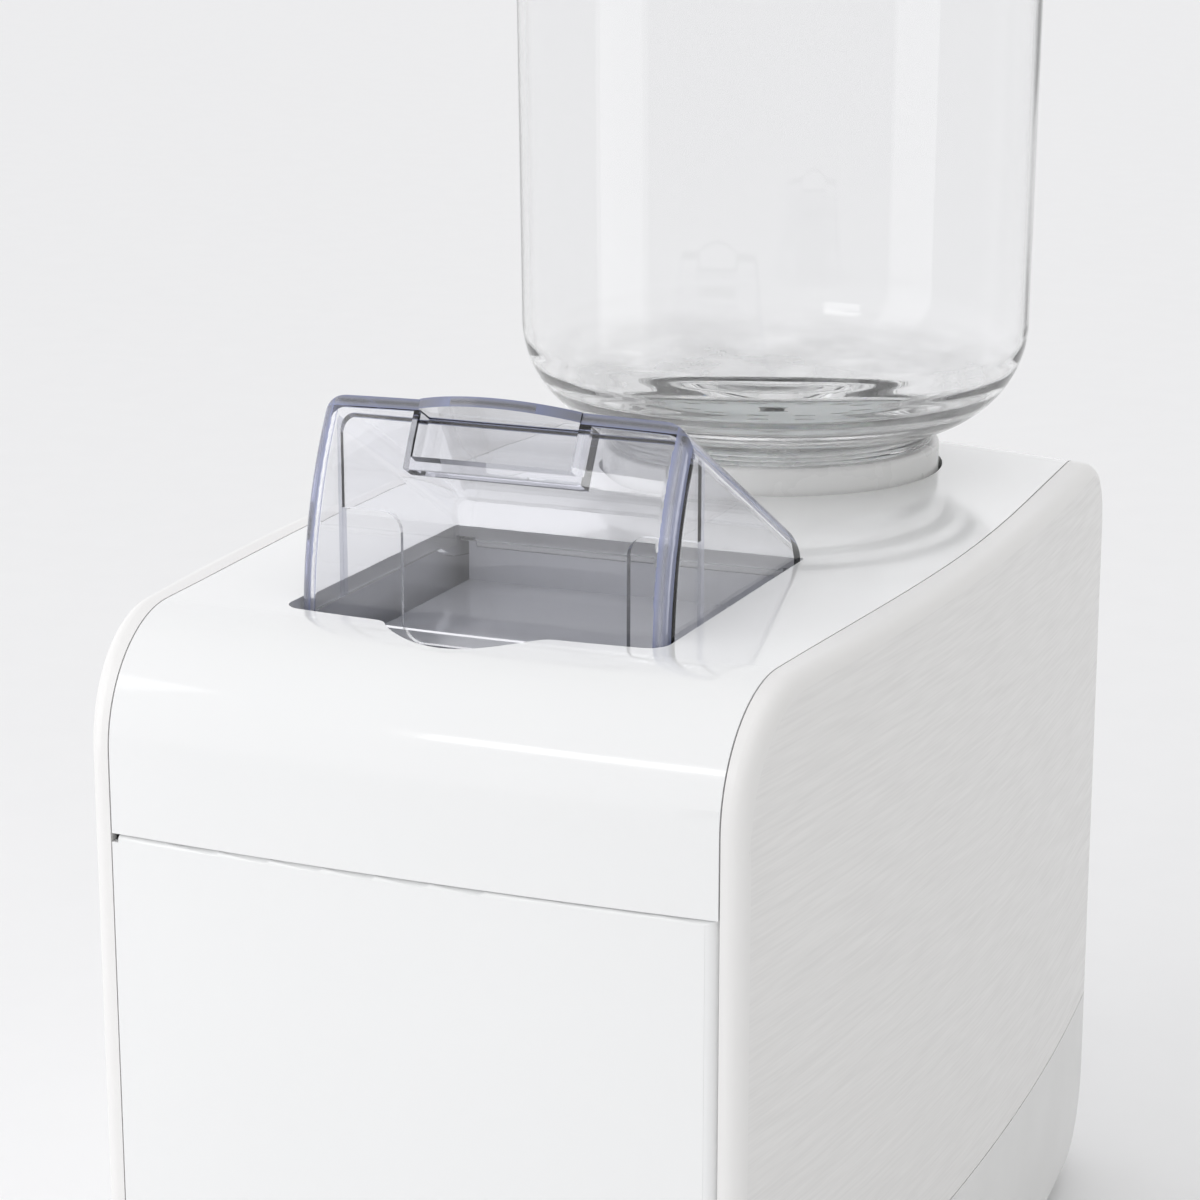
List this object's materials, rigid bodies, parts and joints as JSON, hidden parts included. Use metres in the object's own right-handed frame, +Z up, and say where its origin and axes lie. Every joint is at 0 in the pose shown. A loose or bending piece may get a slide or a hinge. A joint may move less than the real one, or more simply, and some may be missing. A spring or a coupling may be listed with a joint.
{
  "type": "countertop water dispenser",
  "caption": "Barrel-sided white countertop dispenser with an inverted clear bottle, a clear tilting hood over a well, a front door and a drip drawer.",
  "frame": {"origin": "on the table, under the middle of the whole object's box", "axes": "+Z up, -Y out of the front face, +X to the right seen from the front"},
  "size_m": [0.1684, 0.2856, 0.458],
  "materials": {
    "cover_white": "glossy white moulded cover",
    "side_panel": "light grey-white with a fine streaky hairline texture",
    "base_white": "satin white",
    "hood_clear": "clear polished acrylic, edges tinted violet",
    "liner_grey": "glossy dark grey",
    "bottle_glass": "clear, smooth, slightly uneven thick wall",
    "cap_white": "smooth white",
    "soft_seal": "soft silicone",
    "feet_rubber": "matt black",
    "pin_steel": "ground",
    "magnet_grey": "nickelled",
    "bay_grey": "satin grey",
    "spout_steel": "polished",
    "grille_steel": "brushed",
    "paddle_grey": "satin dark grey",
    "tank_natural": "milky",
    "hose_silicone": "milky silicone",
    "float_white": "matt",
    "frame_grey": "moulded, matt",
    "heater_alloy": "cast",
    "switch_black": "matt black",
    "rocker_black": "glossy black",
    "pump_plastic": "moulded black",
    "motor_can": "zinc plated",
    "board_green": "lacquered board",
    "parts_dark": "components",
    "pin_brass": "plated"
  },
  "bodies": {
    "body": {"base_chassis": "base_white", "bay_liner": "bay_grey", "board_components": "parts_dark", "bottle_seat": "bay_grey", "case_screws": "pin_steel", "control_board": "board_green", "door_catch_plate": "pin_steel", "door_hinge_pins": "pin_steel", "feed_hose": "hose_silicone", "float_stem": "tank_natural", "heater_block": "heater_alloy", "hood_hinge_pins": "pin_steel", "hood_switch": "switch_black", "inlet_pins": "pin_brass", "inner_frame": "frame_grey", "left_side_shell": "side_panel", "outlet_hose": "hose_silicone", "paddle_pin": "pin_steel", "paddle_switch": "switch_black", "power_inlet": "switch_black", "power_supply": "parts_dark", "pump_bracket": "frame_grey", "pump_housing": "pump_plastic", "pump_motor": "motor_can", "rear_cover": "base_white", "reservoir": "tank_natural", "right_side_shell": "side_panel", "rubber_feet": "feet_rubber", "spout": "spout_steel", "supply_hose": "hose_silicone", "switch_frame": "switch_black", "thermal_cutout": "switch_black", "top_front_cover": "cover_white", "well_liner": "liner_grey"},
    "hood": {"clear_hood": "hood_clear", "hood_inner_plate": "hood_clear"},
    "door": {"front_door": "cover_white", "door_magnet": "magnet_grey"},
    "tray": {"drip_tray": "cover_white", "drip_grille": "grille_steel"},
    "paddle": {"cup_paddle": "paddle_grey"},
    "bottle_unit": {"bottle": "bottle_glass", "bottle_cap": "cap_white", "cap_seal": "soft_seal", "valve_cage": "tank_natural", "valve_spring": "pin_steel"},
    "plunger": {"valve_plunger": "tank_natural", "valve_seal": "soft_seal"},
    "impeller": {"pump_impeller": "float_white"},
    "float": {"level_float": "float_white"},
    "rocker": {"power_rocker": "rocker_black"},
    "switch_button": {"hood_switch_button": "rocker_black"}
  },
  "joints": [
    {"name": "hood_hinge", "type": "hinge", "parent": "body", "child": "hood", "pos_m": [0, -0.012, 0.1942], "axis": [1, 0, 0], "range_deg": [0, 28.8]},
    {"name": "door_hinge", "type": "hinge", "parent": "body", "child": "door", "pos_m": [0.067, -0.1382, 0.1], "axis": [0, 0, 1], "range_deg": [0, 90]},
    {"name": "tray_slide", "type": "slide", "parent": "body", "child": "tray", "axis": [0, -1, 0], "range_m": [0, 0.075]},
    {"name": "paddle_hinge", "type": "hinge", "parent": "body", "child": "paddle", "pos_m": [0, -0.0665, 0.112], "axis": [1, 0, 0], "range_deg": [0, 6], "stiffness_Nm_per_rad": 0.15, "springref_deg": -5.73},
    {"name": "bottle_lift", "type": "slide", "parent": "body", "child": "bottle_unit", "axis": [0, 0, 1], "range_m": [0, 0.06]},
    {"name": "valve_travel", "type": "slide", "parent": "bottle_unit", "child": "plunger", "axis": [0, 0, 1], "range_m": [0, 0.003], "stiffness_N_per_m": 120, "springref_m": -0.006, "deforming": ["valve_spring"]},
    {"name": "impeller_spin", "type": "hinge", "parent": "body", "child": "impeller", "pos_m": [-0.037, 0.0375, 0.058], "axis": [1, 0, 0], "continuous": true},
    {"name": "float_rise", "type": "slide", "parent": "body", "child": "float", "axis": [0, 0, 1], "range_m": [0, 0.015]},
    {"name": "rocker_tilt", "type": "hinge", "parent": "body", "child": "rocker", "pos_m": [0.034, 0.1277, 0.074], "axis": [1, 0, 0], "range_deg": [-16, 0]},
    {"name": "hood_switch_travel", "type": "slide", "parent": "body", "child": "switch_button", "axis": [0, 1, 0], "range_m": [0, 0.0015], "stiffness_N_per_m": 150, "springref_m": -0.002}
  ]
}
